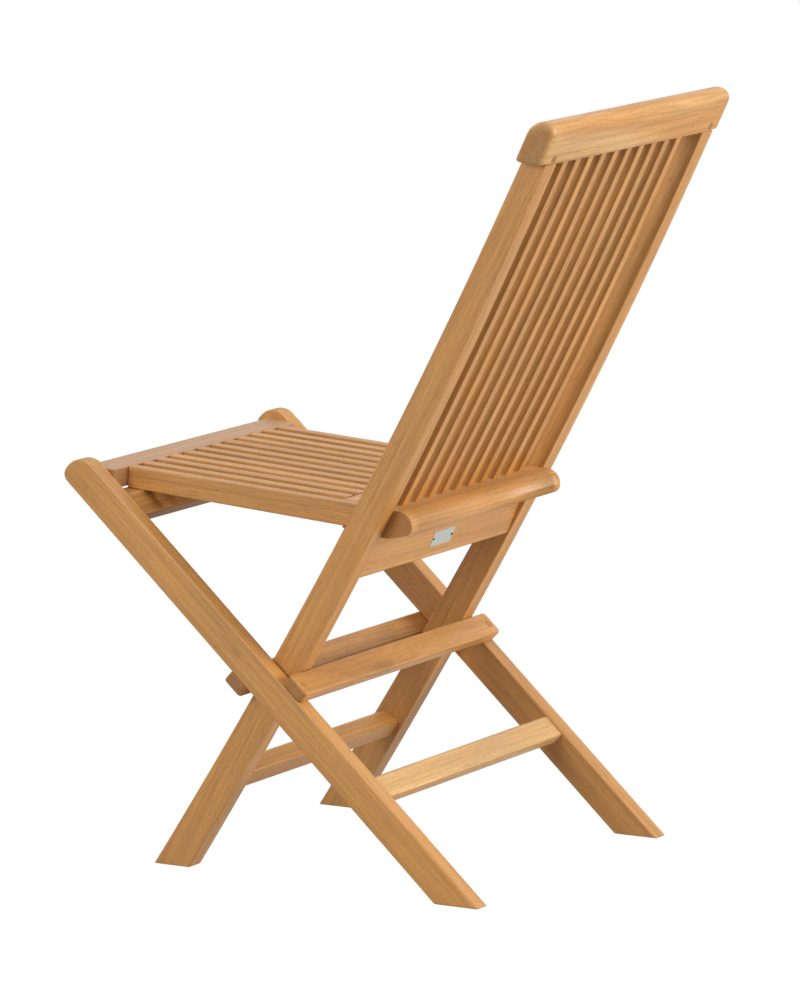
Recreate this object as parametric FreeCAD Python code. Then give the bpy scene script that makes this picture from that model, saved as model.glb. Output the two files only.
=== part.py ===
import FreeCAD, Part
import math
import os

# Folding teak side chair. Millimetres, degrees. X is left of the sitter, Y is to the rear, Z is up.
# The side view is drawn with the rear corner of the back stile foot at Y = 0, Z = 0.
# Every solid is then moved by one amount in Y so that the whole chair is centred on the origin.

# Driving sizes
overall_width = 470.0
leg_thickness = 24.0
leg_depth = 39.7
leg_slope = 42.4
leg_foot_rear_y = 409.2
leg_tip_beyond_seat = 7.7
leg_tip_lower_round = 0.3 * leg_depth
leg_tip_upper_round = 0.6 * leg_depth
stile_thickness = 26.4
stile_foot_depth = 41.2
stile_taper = 0.011
stile_foot_slope = 57.4
stile_bend_radius = 7812.0
stile_length = 994.0
rail_thickness = 35.0
rail_height = 49.0
rail_overhang = 15.0
rail_end_round = 6.0
rail_underside_fall = 0.32
back_slat_count = 10
back_slat_width = 12.0
back_slat_depth = 13.0
back_slat_recess = 8.0
seat_height_front = 475.4
seat_height_rear = 449.4
board_width = 42.0
board_thickness = 24.0
seat_slat_count = 10
seat_slat_width = 16.0
seat_slat_thickness = 13.0
side_rail_width = 16.0
side_rail_depth = 26.0
side_rail_deepening = 2.5
rear_rail_width = 18.0
rear_rail_height = 17.0
nosing_thickness = 35.0
nosing_flat_behind_stile = 5.5
nosing_round_length = 18.3
apron_thickness = 20.0
apron_height = 50.0
apron_low_inset = 2.0
apron_high_inset = 7.0
bar_height = 29.0
bar_thickness = 16.0
bar_end_setback = 0.5
bar_end_round = 5.0
stretcher_thickness = 16.0
stretcher_height = 32.0
front_stretcher_station = 110.0
front_stretcher_inset = 6.0
front_stretcher_height = 24.0
front_stretcher_depth = 25.0
rear_stretcher_along = 175.0
rear_stretcher_inset = 3.0
leg_pin_radius = 5.0
leg_pin_depth = 17.0
washer_radius = 10.0
seat_pin_radius = 4.0
seat_pin_depth = 16.0
seat_pin_below_top = 11.6
seat_pin_forward = 8.0
slat_start_ahead_of_pin = 48.0
plug_radius = 4.5
rail_peg_radius = 4.5
peg_length = 7.0
peg_stand_out = 0.5
edge_round = 2.5
slat_edge = 0.8
long_edge = 3.0

# Joints of the frame
tenon_length = 14.0
tenon_shoulder = 4.0
stile_tenon_shoulder = 7.0
stile_tenon_height = 26.0
slat_housing = 10.0
rear_rail_housing = 4.0

# Clearances
joint_play = 0.15
hinge_play = 0.05
stop_gap = 0.3
rest_gap = 0.2
leg_gap = 3.4
washer_gap = 0.2
seat_side_gap = 1.0
board_end_gap = 0.4
fold_gap = 3.0
notch_side_gap = 1.5
notch_rear_gap = 4.6

# Sizes that follow
well_clear = 4.0 * stile_length
half_width = overall_width / 2.0
leg_inner = half_width - leg_thickness
stile_outer = leg_inner - leg_gap
stile_inner = stile_outer - stile_thickness
rail_half_length = stile_outer + rail_overhang
side_rail_outer = stile_inner - seat_side_gap
side_rail_inner = side_rail_outer - side_rail_width
seat_slat_gap = (2.0 * side_rail_inner - seat_slat_count * seat_slat_width) / (seat_slat_count + 1)
slat_pitch = seat_slat_width + seat_slat_gap
leg_direction = math.radians(180.0 - leg_slope)
foot_angle = math.radians(stile_foot_slope)


def point(x, flat):
    return FreeCAD.Vector(x, flat[0], flat[1])


def stile_turn(station):
    """Slope of the stile's rear edge at a distance along it, in radians."""
    return foot_angle + station / stile_bend_radius


def stile_point(station, inset):
    """Side-view point at a distance along the stile's rear edge and a distance in front of it."""
    turn = stile_turn(station)
    y = stile_bend_radius * (math.sin(turn) - math.sin(foot_angle)) - inset * math.sin(turn)
    z = stile_bend_radius * (math.cos(foot_angle) - math.cos(turn)) + inset * math.cos(turn)
    return (y, z)


def stile_station_of(flat):
    """Distance along the stile's rear edge and distance in front of it, for a side-view point."""
    across = flat[0] + stile_bend_radius * math.sin(foot_angle)
    down = stile_bend_radius * math.cos(foot_angle) - flat[1]
    turn = math.atan2(across, down)
    return (turn - foot_angle) * stile_bend_radius, stile_bend_radius - math.hypot(across, down)


def stile_rear_y(height):
    """Y of the stile's rear edge at a height."""
    turn = math.acos(math.cos(foot_angle) - height / stile_bend_radius)
    return stile_bend_radius * (math.sin(turn) - math.sin(foot_angle))


def stile_depth(station):
    return stile_foot_depth - stile_taper * station


def leg_point(along, behind):
    """Side-view point from the rear corner of the leg foot: along the leg, and behind its rear face."""
    y = leg_foot_rear_y + along * math.cos(leg_direction) + behind * math.sin(leg_direction)
    z = along * math.sin(leg_direction) - behind * math.cos(leg_direction)
    return (y, z)


def seat_point(forward, above):
    """Side-view point measured from the seat pivot: forward along the seat and above it."""
    y = seat_pivot[0] - forward * math.cos(seat_drop) + above * math.sin(seat_drop)
    z = seat_pivot[1] + forward * math.sin(seat_drop) + above * math.cos(seat_drop)
    return (y, z)


def leg_reaches(height):
    """Distance along the leg at which its centre line is at a height."""
    return (height - leg_depth / 2.0 * math.cos(leg_direction)) / math.sin(leg_direction)


def halving(low, high, is_low):
    """The place between low and high where is_low stops being true."""
    for _ in range(50):
        middle = (low + high) / 2.0
        if is_low(middle):
            low = middle
        else:
            high = middle
    return middle


def seat_top_z(y):
    return seat_height_front - (y - seat_front_y) * math.tan(seat_drop)


def below_seat_top(flat):
    return (seat_top_z(flat[0]) - flat[1]) * math.cos(seat_drop)


def seat_pin_spot(station):
    return stile_point(station, stile_depth(station) / 2.0 + seat_pin_forward)


def behind_stile_centre(flat):
    station, inset = stile_station_of(flat)
    return stile_depth(station) / 2.0 - inset


def in_front_of_stile(flat):
    station, inset = stile_station_of(flat)
    return inset - stile_depth(station)


seat_reach = leg_reaches(seat_height_front)
leg_length = seat_reach + leg_tip_beyond_seat
seat_front_y = leg_point(seat_reach, -leg_depth / 2.0)[0]
seat_rear_y = stile_rear_y(seat_height_rear) + nosing_flat_behind_stile
seat_drop = math.atan2(seat_height_front - seat_height_rear, seat_rear_y - seat_front_y)
nosing_rear_y = seat_rear_y + nosing_round_length

leg_cross_along = halving(0.0, leg_length, lambda along: behind_stile_centre(
    leg_point(along, -leg_depth / 2.0)) > 0.0)
leg_pivot = leg_point(leg_cross_along, -leg_depth / 2.0)
rear_bar_end = halving(0.0, leg_cross_along, lambda along: stile_station_of(
    leg_point(along, 0.0))[1] < -stop_gap)
rear_bar_outer_end = halving(0.0, leg_cross_along, lambda along: stile_station_of(
    leg_point(along, bar_thickness))[1] < -stop_gap)
front_bar_start = halving(leg_cross_along, leg_length, lambda along: in_front_of_stile(
    leg_point(along, -leg_depth)) < stop_gap)

seat_pin_station = halving(0.0, stile_length, lambda station: below_seat_top(
    seat_pin_spot(station)) > seat_pin_below_top)
seat_pivot = seat_pin_spot(seat_pin_station)
board_front_u = (seat_pivot[0] - seat_front_y) / math.cos(seat_drop) + seat_pin_below_top * math.tan(seat_drop)
board_rear_u = board_front_u - board_width
rail_end_radius = seat_pin_below_top
rail_deep_u = 3.0 * rail_end_radius
nosing_front_u = slat_start_ahead_of_pin - fold_gap
notch_rear_y = seat_pivot[0] + rail_end_radius + notch_rear_gap
slat_low_station = seat_pin_station + slat_housing
slat_high_station = stile_length + slat_housing - rail_thickness * rail_underside_fall / 2.0
apron_low_station = seat_pin_station - 0.7 * nosing_thickness - apron_height


def solid_between(x0, x1, outline):
    """A straight bar from x0 to x1 with a side-view outline of points; a middle triple item is an arc."""
    edges = []
    last = outline[0]
    for item in outline[1:]:
        if len(item) == 3:
            edges.append(Part.Arc(point(x0, last), point(x0, item[1]), point(x0, item[2])).toShape())
            last = item[2]
        else:
            edges.append(Part.LineSegment(point(x0, last), point(x0, item)).toShape())
            last = item
    edges.append(Part.LineSegment(point(x0, last), point(x0, outline[0])).toShape())
    face = Part.Face(Part.Wire(edges))
    return face.extrude(FreeCAD.Vector(x1 - x0, 0, 0))


def mirrored(shape):
    return shape.mirror(FreeCAD.Vector(0, 0, 0), FreeCAD.Vector(1, 0, 0))


def edges_along_bar(shape, x0, x1, points, reach):
    """Edges that run from x0 to x1 and start within reach of one of the side-view points."""
    found = []
    for edge in shape.Edges:
        box = edge.BoundBox
        if box.XLength < abs(x1 - x0) - 0.5:
            continue
        middle = box.Center
        for spot in points:
            if math.hypot(middle.y - spot[0], middle.z - spot[1]) < reach:
                found.append(edge)
                break
    return found


def edges_on_sides(shape, x_values):
    """Edges lying in one of the side planes, except those on the floor."""
    found = []
    for edge in shape.Edges:
        box = edge.BoundBox
        for x in x_values:
            if abs(box.XMin - x) < 0.01 and abs(box.XMax - x) < 0.01:
                if box.ZMax > 0.01:
                    found.append(edge)
                    break
    return found


def softened(shape, edges, radius):
    if not edges:
        return shape
    return shape.makeFillet(radius, edges)


def box_in_leg_frame(x0, x1, along0, along1, behind0, behind1):
    corners = [(along0, behind0), (along1, behind0), (along1, behind1), (along0, behind1)]
    return solid_between(x0, x1, [leg_point(a, b) for a, b in corners])


def box_in_seat_frame(x0, x1, u0, u1, v0, v1):
    corners = [(u0, v0), (u1, v0), (u1, v1), (u0, v1)]
    return solid_between(x0, x1, [seat_point(u, v) for u, v in corners])


def strip_on_stile_curve(x0, x1, station0, station1, inset0, inset1):
    """A strip that follows the bend of the stile between two stations."""
    middle = (station0 + station1) / 2.0
    outline = [
        stile_point(station0, inset0),
        (None, stile_point(middle, inset0), stile_point(station1, inset0)),
        stile_point(station1, inset1),
        (None, stile_point(middle, inset1), stile_point(station0, inset1)),
    ]
    return solid_between(x0, x1, outline)


def pin(x0, x1, centre, radius):
    return Part.makeCylinder(radius, x1 - x0, point(x0, centre), FreeCAD.Vector(1, 0, 0))


def above_floor(shape):
    box = Part.makeBox(2.0 * well_clear, 2.0 * well_clear, well_clear,
                       FreeCAD.Vector(-well_clear, -well_clear, -well_clear))
    return shape.cut(box)


def one_solid(shape):
    clean = shape.removeSplitter()
    if len(clean.Solids) != 1:
        raise ValueError("a piece came out as %d solids" % len(clean.Solids))
    return clean.Solids[0]


# Back frame


def rail_spot(up, front):
    """Side-view point from the lower rear corner of the top rail, up its rear face and forward."""
    base = stile_point(stile_length, 0.0)
    turn = stile_turn(stile_length)
    y = base[0] + up * math.cos(turn) - front * math.sin(turn)
    z = base[1] + up * math.sin(turn) + front * math.cos(turn)
    return (y, z)


def above_rail_underside():
    """Everything above the plane of the top rail's underside."""
    fall = rail_underside_fall
    t = rail_thickness
    outline = [rail_spot(t * fall, -t), rail_spot(-2.0 * t * fall, 2.0 * t), rail_spot(2.0 * rail_height, 2.0 * t),
               rail_spot(2.0 * rail_height, -t)]
    return solid_between(-half_width, half_width, outline)


def rail_outline():
    """Top rail section: flush with the rear of the stiles, a big round on the crown."""
    t = rail_thickness
    h = rail_height
    low = -rail_underside_fall * 0.87 * t
    return [
        rail_spot(0.0, 0.0),
        rail_spot(low, 0.87 * t),
        (None, rail_spot(low + 0.026 * t, 0.957 * t), rail_spot(low + 0.13 * t, t)),
        rail_spot(0.63 * h, t),
        (None, rail_spot(0.89 * h, 0.76 * t), rail_spot(h, 0.5 * t)),
        (None, rail_spot(0.985 * h, 0.2 * t), rail_spot(0.89 * h, 0.0)),
    ]


def stile_tenon(side, grow):
    """Tenon of a stile in the top rail."""
    x0 = stile_inner + stile_tenon_shoulder
    x1 = stile_outer - stile_tenon_shoulder
    if side < 0:
        x0, x1 = -x1, -x0
    front = stile_depth(stile_length) - stile_tenon_shoulder
    return strip_on_stile_curve(x0 - grow, x1 + grow, stile_length - stile_tenon_height / 2.0,
                                stile_length + stile_tenon_height + grow,
                                stile_tenon_shoulder + tenon_shoulder / 2.0 - grow, front + grow)


def rail_corner_waste(side, front, outward):
    """Wood outside the round of one upright corner at a rail end."""
    radius = rail_end_round
    base = stile_point(stile_length, front)
    turn = stile_turn(stile_length)
    up = FreeCAD.Vector(0, math.cos(turn), math.sin(turn))
    forward = FreeCAD.Vector(0, -math.sin(turn), math.cos(turn))

    def spot(inward_x, inward_y):
        x = side * (rail_half_length - inward_x)
        return FreeCAD.Vector(x, base[0], base[1]) - forward * (outward * inward_y) - up * rail_height

    bend = radius * (1.0 - math.sqrt(0.5))
    edges = [
        Part.Arc(spot(radius, 0.0), spot(bend, bend), spot(0.0, radius)).toShape(),
        Part.LineSegment(spot(0.0, radius), spot(-2.0, radius)).toShape(),
        Part.LineSegment(spot(-2.0, radius), spot(-2.0, -2.0)).toShape(),
        Part.LineSegment(spot(-2.0, -2.0), spot(radius, -2.0)).toShape(),
        Part.LineSegment(spot(radius, -2.0), spot(radius, 0.0)).toShape(),
    ]
    return Part.Face(Part.Wire(edges)).extrude(up * (3.0 * rail_height))


def row_of_centres(count):
    first = -slat_pitch * (count - 1) / 2.0
    return [first + slat_pitch * number for number in range(count)]


def back_slat_solid(centre, grow):
    half = back_slat_width / 2.0 + grow
    return strip_on_stile_curve(centre - half, centre + half, slat_low_station - grow,
                                slat_high_station + grow, back_slat_recess - grow,
                                back_slat_recess + back_slat_depth + grow)


def back_slat(centre):
    slat = back_slat_solid(centre, 0.0)
    half = back_slat_width / 2.0
    return slat.makeChamfer(slat_edge, edges_on_sides(slat, [centre - half, centre + half]))


def top_rail_peg(side, grow):
    """A short round plug in the rear face of the top rail."""
    station = stile_length + peg_length
    out = stile_point(station, -peg_stand_out + grow)
    turn = stile_turn(station)
    direction = FreeCAD.Vector(0, -math.sin(turn), math.cos(turn))
    start = point(side * (stile_inner + stile_thickness / 2.0), out)
    return Part.makeCylinder(rail_peg_radius + grow, peg_length + grow, start, direction)


def top_rail():
    rail = solid_between(-rail_half_length, rail_half_length, rail_outline())
    for side in (-1, 1):
        rail = rail.cut(rail_corner_waste(side, 0.0, -1))
        rail = rail.cut(rail_corner_waste(side, rail_thickness, 1))
        rail = rail.cut(stile_tenon(side, joint_play))
        rail = rail.cut(top_rail_peg(side, joint_play))
    for centre in row_of_centres(back_slat_count):
        rail = rail.cut(back_slat_solid(centre, joint_play))
    return one_solid(rail)


def stile_profile(x0, x1):
    low = -stile_foot_depth
    high = stile_length + rail_height / 4.0
    middle = (low + high) / 2.0
    outline = [
        stile_point(low, 0.0),
        (None, stile_point(middle, 0.0), stile_point(high, 0.0)),
        stile_point(high, stile_depth(high)),
        (None, stile_point(middle, stile_depth(middle)), stile_point(low, stile_depth(low))),
    ]
    return solid_between(x0, x1, outline)


def back_stile():
    """The left back stile, from the floor to the underside of the top rail."""
    x0 = stile_inner
    x1 = stile_outer
    stile = above_floor(stile_profile(x0, x1))
    stile = stile.makeChamfer(edge_round * 0.7, edges_on_sides(stile, [x0, x1]))
    stile = stile.cut(above_rail_underside())
    stile = stile.fuse(stile_tenon(1, 0.0))
    stile = stile.cut(pin(x0 - 1.0, x1 + 1.0, leg_pivot, leg_pin_radius + hinge_play))
    stile = stile.cut(pin(x0 - 1.0, x0 + seat_pin_depth + 0.5, seat_pivot, seat_pin_radius + hinge_play))
    stile = stile.cut(nosing_tenon(joint_play))
    stile = stile.cut(apron_tenon(joint_play))
    stile = stile.cut(front_stretcher_tenon(joint_play))
    return one_solid(stile)


def nosing_outline():
    """Nosing board section: top in the plane of the seat, rounded rear edge."""
    top = seat_top_z(seat_rear_y)
    t = nosing_thickness
    r = nosing_round_length
    under_y = seat_rear_y - 0.43 * t
    return [
        seat_point(nosing_front_u, seat_pin_below_top),
        (seat_rear_y, top),
        (None, (seat_rear_y + 0.78 * r, top - 0.17 * t), (nosing_rear_y, top - 0.47 * t)),
        (None, (seat_rear_y + 0.86 * r, top - 0.71 * t), (seat_rear_y + 0.45 * r, top - 0.83 * t)),
        (under_y, seat_top_z(under_y) - t),
        seat_point(nosing_front_u, seat_pin_below_top - t),
    ]


def nosing_tenon(grow):
    """Tenon of the nosing board in the left stile, behind the notch for the seat rail."""
    skin = 3.0
    y0 = notch_rear_y + 1.0
    low = seat_pin_station - skin + 1.0
    high = low + nosing_thickness / 2.0
    low_z = stile_point(low, skin)[1] - grow
    section = [(y0 - grow, low_z),
               (stile_point(low, skin - grow)[0] + 0.4, low_z),
               stile_point(high + grow, skin - grow),
               (y0 - grow, stile_point(high + grow, skin - grow)[1])]
    return solid_between(stile_inner - 0.5, stile_inner + tenon_length + grow, section)


def nosing_board():
    end = stile_inner
    board = solid_between(-end, end, nosing_outline())
    inner = side_rail_inner - notch_side_gap
    low = seat_pivot[1] - 3.0 * nosing_thickness
    for x0 in (inner, -end - 1.0):
        notch = Part.makeBox(end + 1.0 - inner, notch_rear_y + well_clear, 6.0 * nosing_thickness,
                             FreeCAD.Vector(x0, -well_clear, low))
        board = board.cut(notch)
    board = board.fuse(nosing_tenon(0.0))
    board = board.fuse(mirrored(nosing_tenon(0.0)))
    for centre in row_of_centres(back_slat_count):
        board = board.cut(back_slat_solid(centre, joint_play))
    return one_solid(board)


def apron_tenon(grow):
    low = apron_low_station
    inset = (apron_low_inset + apron_high_inset) / 2.0 + tenon_shoulder
    return strip_on_stile_curve(stile_inner - 0.5, stile_inner + tenon_length + grow,
                                low + tenon_shoulder + 4.0 - grow, low + 0.75 * apron_height + grow,
                                inset - grow, inset + apron_thickness - 2.5 * tenon_shoulder + grow)


def apron_rail():
    """Cross rail under the nosing board, its top cut to the underside of that board."""
    low = apron_low_station
    high = seat_pin_station
    high_inset = apron_low_inset + (apron_high_inset - apron_low_inset) * (high - low) / apron_height
    outline = [
        stile_point(low, apron_low_inset),
        stile_point(high, high_inset),
        stile_point(high, high_inset + apron_thickness),
        stile_point(low, apron_low_inset + apron_thickness),
    ]
    rail = solid_between(-stile_inner, stile_inner, outline)
    rail = softened(rail, edges_along_bar(rail, -stile_inner, stile_inner, [outline[0], outline[3]], 1.0),
                    long_edge)
    under = solid_between(-stile_inner - 1.0, stile_inner + 1.0, [
        seat_point(-board_width, seat_pin_below_top - nosing_thickness),
        seat_point(-board_width, 2.0 * nosing_thickness),
        seat_point(2.0 * board_width, 2.0 * nosing_thickness),
        seat_point(2.0 * board_width, seat_pin_below_top - nosing_thickness),
    ])
    rail = rail.cut(under)
    rail = rail.fuse(apron_tenon(0.0))
    rail = rail.fuse(mirrored(apron_tenon(0.0)))
    return one_solid(rail)


def front_stretcher_tenon(grow):
    low = front_stretcher_station
    inset = front_stretcher_inset
    return strip_on_stile_curve(stile_inner - 0.5, stile_inner + tenon_length + grow,
                                low + tenon_shoulder + 1.0 - grow,
                                low + front_stretcher_height - tenon_shoulder - 1.0 + grow,
                                inset + tenon_shoulder - grow,
                                inset + front_stretcher_depth - tenon_shoulder + grow)


def front_stretcher():
    """Low stretcher between the stiles."""
    low = front_stretcher_station
    high = low + front_stretcher_height
    near = front_stretcher_inset
    far = near + front_stretcher_depth
    bar = strip_on_stile_curve(-stile_inner, stile_inner, low, high, near, far)
    spots = [stile_point(station, inset) for station in (low, high) for inset in (near, far)]
    bar = softened(bar, edges_along_bar(bar, -stile_inner, stile_inner, spots, 1.0), long_edge)
    bar = bar.fuse(front_stretcher_tenon(0.0))
    bar = bar.fuse(mirrored(front_stretcher_tenon(0.0)))
    return one_solid(bar)


# Leg frame


def leg_outline():
    lower = leg_tip_lower_round
    upper = leg_tip_upper_round
    k = math.sqrt(0.5)
    end = leg_length
    d = leg_depth
    return [
        leg_point(-2.0 * d, 0.0),
        leg_point(end - upper, 0.0),
        (None, leg_point(end - upper + upper * k, -upper + upper * k), leg_point(end, -upper)),
        leg_point(end, -d + lower),
        (None, leg_point(end - lower + lower * k, -d + lower - lower * k), leg_point(end - lower, -d)),
        leg_point(-2.0 * d, -d),
    ]


def side_rail_underside(forward):
    """Height of a side rail's underside above the seat pivot line."""
    span = board_rear_u - rail_deep_u
    extra = side_rail_deepening * (board_rear_u - forward) / span
    return seat_pin_below_top - side_rail_depth - extra


def meets_seat_rails(behind):
    """Distance along the leg at which a point this far behind the rear face meets the seat rails."""

    def below(along):
        y, z = leg_point(along, behind)
        forward = (seat_pivot[0] - y) * math.cos(seat_drop) + (z - seat_pivot[1]) * math.sin(seat_drop)
        above = (z - seat_pivot[1]) * math.cos(seat_drop) - (seat_pivot[0] - y) * math.sin(seat_drop)
        return above < side_rail_underside(forward) - rest_gap

    return halving(0.0, leg_length, below)


crossbar_low = meets_seat_rails(0.0) - stretcher_height


def cross_tenon(low, high, centre, grow):
    """Tenon of a bar in the left leg, about the middle of the bar's thickness."""
    half = stretcher_thickness / 2.0 - tenon_shoulder + grow
    return box_in_leg_frame(leg_inner - 0.5, leg_inner + tenon_length + grow, low - grow, high + grow,
                            centre - half, centre + half)


def crossbar_tenon(grow):
    return cross_tenon(crossbar_low + tenon_shoulder + 1.0, crossbar_low + 0.63 * stretcher_height,
                       -stretcher_thickness / 2.0, grow)


def rear_stretcher_tenon(grow):
    low = rear_stretcher_along
    return cross_tenon(low + tenon_shoulder + 1.0, low + stretcher_height - tenon_shoulder - 1.0,
                       -rear_stretcher_inset - stretcher_thickness / 2.0, grow)


def rear_leg():
    """The left leg: floor at the rear, seat at the front."""
    x0 = leg_inner
    x1 = half_width
    leg = above_floor(solid_between(x0, x1, leg_outline()))
    leg = softened(leg, edges_on_sides(leg, [x0, x1]), edge_round)
    leg = leg.cut(pin(x0 - 1.0, x0 + leg_pin_depth + hinge_play, leg_pivot, leg_pin_radius + hinge_play))
    leg = leg.cut(crossbar_tenon(joint_play))
    leg = leg.cut(rear_stretcher_tenon(joint_play))
    return one_solid(leg)


def leg_crossbar():
    """Cross bar between the legs under the seat front, its top cut to the seat rails' undersides."""
    front = -stretcher_thickness
    outline = [
        leg_point(crossbar_low, 0.0),
        leg_point(meets_seat_rails(0.0), 0.0),
        leg_point(meets_seat_rails(front), front),
        leg_point(crossbar_low, front),
    ]
    bar = solid_between(-leg_inner, leg_inner, outline)
    bar = softened(bar, edges_along_bar(bar, -leg_inner, leg_inner, [outline[0], outline[3]], 1.0), long_edge)
    bar = bar.fuse(crossbar_tenon(0.0))
    bar = bar.fuse(mirrored(crossbar_tenon(0.0)))
    return one_solid(bar)


def rear_stretcher():
    """Low stretcher between the legs, near flush with their rear faces."""
    low = rear_stretcher_along
    high = low + stretcher_height
    near = -rear_stretcher_inset
    far = near - stretcher_thickness
    bar = box_in_leg_frame(-leg_inner, leg_inner, low, high, near, far)
    spots = [leg_point(along, behind) for along in (low, high) for behind in (near, far)]
    bar = softened(bar, edges_along_bar(bar, -leg_inner, leg_inner, spots, 1.0), long_edge)
    bar = bar.fuse(rear_stretcher_tenon(0.0))
    bar = bar.fuse(mirrored(rear_stretcher_tenon(0.0)))
    return one_solid(bar)


def stop_bar(along0, along1, outer_along1, behind0, behind1):
    """A bar across both legs that stops the legs against the stiles."""
    end = half_width - bar_end_setback
    outline = [leg_point(along0, behind0), leg_point(along1, behind0), leg_point(outer_along1, behind1),
               leg_point(along0, behind1)]
    bar = solid_between(-end, end, outline)
    tips = []
    for edge in bar.Edges:
        box = edge.BoundBox
        across = math.hypot(box.YLength, box.ZLength)
        if box.XLength < 0.01 and abs(across - bar_thickness) < 1.0:
            tips.append(edge)
    bar = bar.makeFillet(bar_end_round, tips)
    straight = end - 2.0 * bar_end_round
    outer = [leg_point(along0, behind1), leg_point(outer_along1, behind1)]
    return bar.makeChamfer(edge_round * 0.8, edges_along_bar(bar, -straight, straight, outer, 1.0))


def stop_bar_plug(side, grow):
    """A round plug over each fixing of the rear stop bar."""
    start = leg_point(rear_bar_end - bar_height / 2.0, bar_thickness + peg_stand_out - grow)
    inward = FreeCAD.Vector(0, -math.sin(leg_direction), math.cos(leg_direction))
    origin = point(side * (leg_inner + leg_thickness / 2.0), start)
    return Part.makeCylinder(plug_radius + grow, peg_length + grow, origin, inward)


def rear_stop_bar():
    bar = stop_bar(rear_bar_end - bar_height, rear_bar_end, rear_bar_outer_end, 0.0, bar_thickness)
    for side in (-1, 1):
        bar = bar.cut(stop_bar_plug(side, joint_play))
    return one_solid(bar)


def front_stop_bar():
    end = front_bar_start + bar_height
    return one_solid(stop_bar(front_bar_start, end, end, -leg_depth, -leg_depth - bar_thickness))


def leg_pivot_pin():
    return pin(stile_inner + 1.0, leg_inner + leg_pin_depth, leg_pivot, leg_pin_radius)


def leg_pivot_washer():
    ring = pin(stile_outer + washer_gap, leg_inner - washer_gap, leg_pivot, washer_radius)
    return ring.cut(pin(stile_outer - 1.0, leg_inner + 1.0, leg_pivot, leg_pin_radius + stop_gap))


# Seat


def seat_slat_tenon(centre, grow):
    half = seat_slat_width / 2.0 - 3.0 + grow
    top = seat_pin_below_top
    return box_in_seat_frame(centre - half, centre + half, board_rear_u - 0.5, board_rear_u + 12.0 + grow,
                             top - seat_slat_thickness + 2.5 - grow, top - 3.0 + grow)


def side_rail_tenon(side, grow):
    centre = side * (side_rail_inner + side_rail_width / 2.0)
    half = side_rail_width / 2.0 - 3.5 + grow
    top = seat_pin_below_top
    return box_in_seat_frame(centre - half, centre + half, board_rear_u - 0.5,
                             board_rear_u + tenon_length + grow, top - board_thickness + 6.0 - grow,
                             top - 6.0 + grow)


def seat_front_board():
    end = leg_inner - board_end_gap
    top = seat_pin_below_top
    board = box_in_seat_frame(-end, end, board_rear_u, board_front_u, top - board_thickness, top)
    fronts = [seat_point(board_front_u, top), seat_point(board_front_u, top - board_thickness)]
    board = softened(board, edges_along_bar(board, -end, end, fronts, 1.0), 2.0 * edge_round)
    rears = [seat_point(board_rear_u, top)]
    board = softened(board, edges_along_bar(board, -end, end, rears, 1.0), 2.0 * slat_edge)
    for centre in row_of_centres(seat_slat_count):
        board = board.cut(seat_slat_tenon(centre, joint_play))
    for side in (-1, 1):
        board = board.cut(side_rail_tenon(side, joint_play))
    return one_solid(board)


def rear_rail_body(grow):
    """The rear rail between the side rails, let into the undersides of the slats."""
    top = seat_pin_below_top - seat_slat_thickness + rear_rail_housing
    start = slat_start_ahead_of_pin + tenon_shoulder
    return box_in_seat_frame(-side_rail_inner, side_rail_inner, start - grow, start + rear_rail_width + grow,
                             top - rear_rail_height, top)


def rear_rail_tenon(side, grow):
    top = seat_pin_below_top - seat_slat_thickness + rear_rail_housing
    start = slat_start_ahead_of_pin + tenon_shoulder
    x0 = side_rail_inner - 0.5
    x1 = side_rail_inner + side_rail_width - 7.0 + grow
    if side < 0:
        x0, x1 = -x1, -x0
    return box_in_seat_frame(x0, x1, start + 3.0 - grow, start + rear_rail_width - 3.0 + grow,
                             top - rear_rail_height + tenon_shoulder - grow, top - tenon_shoulder + grow)


def seat_rear_rail():
    rail = rear_rail_body(0.0)
    for side in (-1, 1):
        rail = rail.fuse(rear_rail_tenon(side, 0.0))
    return one_solid(rail)


def seat_slat(centre):
    half = seat_slat_width / 2.0
    top = seat_pin_below_top
    slat = box_in_seat_frame(centre - half, centre + half, slat_start_ahead_of_pin, board_rear_u,
                             top - seat_slat_thickness, top)
    upper = []
    for edge in slat.Edges:
        box = edge.BoundBox
        if box.XLength < 0.01 and box.YLength > board_width:
            if abs(box.Center.z - seat_top_z(box.Center.y)) < 1.0:
                upper.append(edge)
    slat = softened(slat, upper, 2.0 * slat_edge)
    slat = slat.fuse(seat_slat_tenon(centre, 0.0))
    slat = slat.cut(rear_rail_body(joint_play))
    return one_solid(slat)


def seat_side_rail():
    """The left side rail: a rounded rear end about the seat pivot, deeper toward the rear."""
    x0 = side_rail_inner
    x1 = side_rail_outer
    top = seat_pin_below_top
    outline = [
        seat_point(board_rear_u, top),
        seat_point(0.0, top),
        (None, seat_point(-top, 0.0), seat_point(0.0, -top)),
        seat_point(rail_deep_u, side_rail_underside(rail_deep_u)),
        seat_point(board_rear_u, side_rail_underside(board_rear_u)),
    ]
    rail = solid_between(x0, x1, outline)
    rail = rail.makeChamfer(2.0 * slat_edge, edges_on_sides(rail, [x1]))
    rail = rail.fuse(side_rail_tenon(1, 0.0))
    rail = rail.cut(pin(x0 - 1.0, x1 + 1.0, seat_pivot, seat_pin_radius + hinge_play))
    rail = rail.cut(rear_rail_tenon(1, joint_play))
    return one_solid(rail)


def seat_pivot_pin():
    return pin(side_rail_inner + 1.0, stile_inner + seat_pin_depth, seat_pivot, seat_pin_radius)


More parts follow.
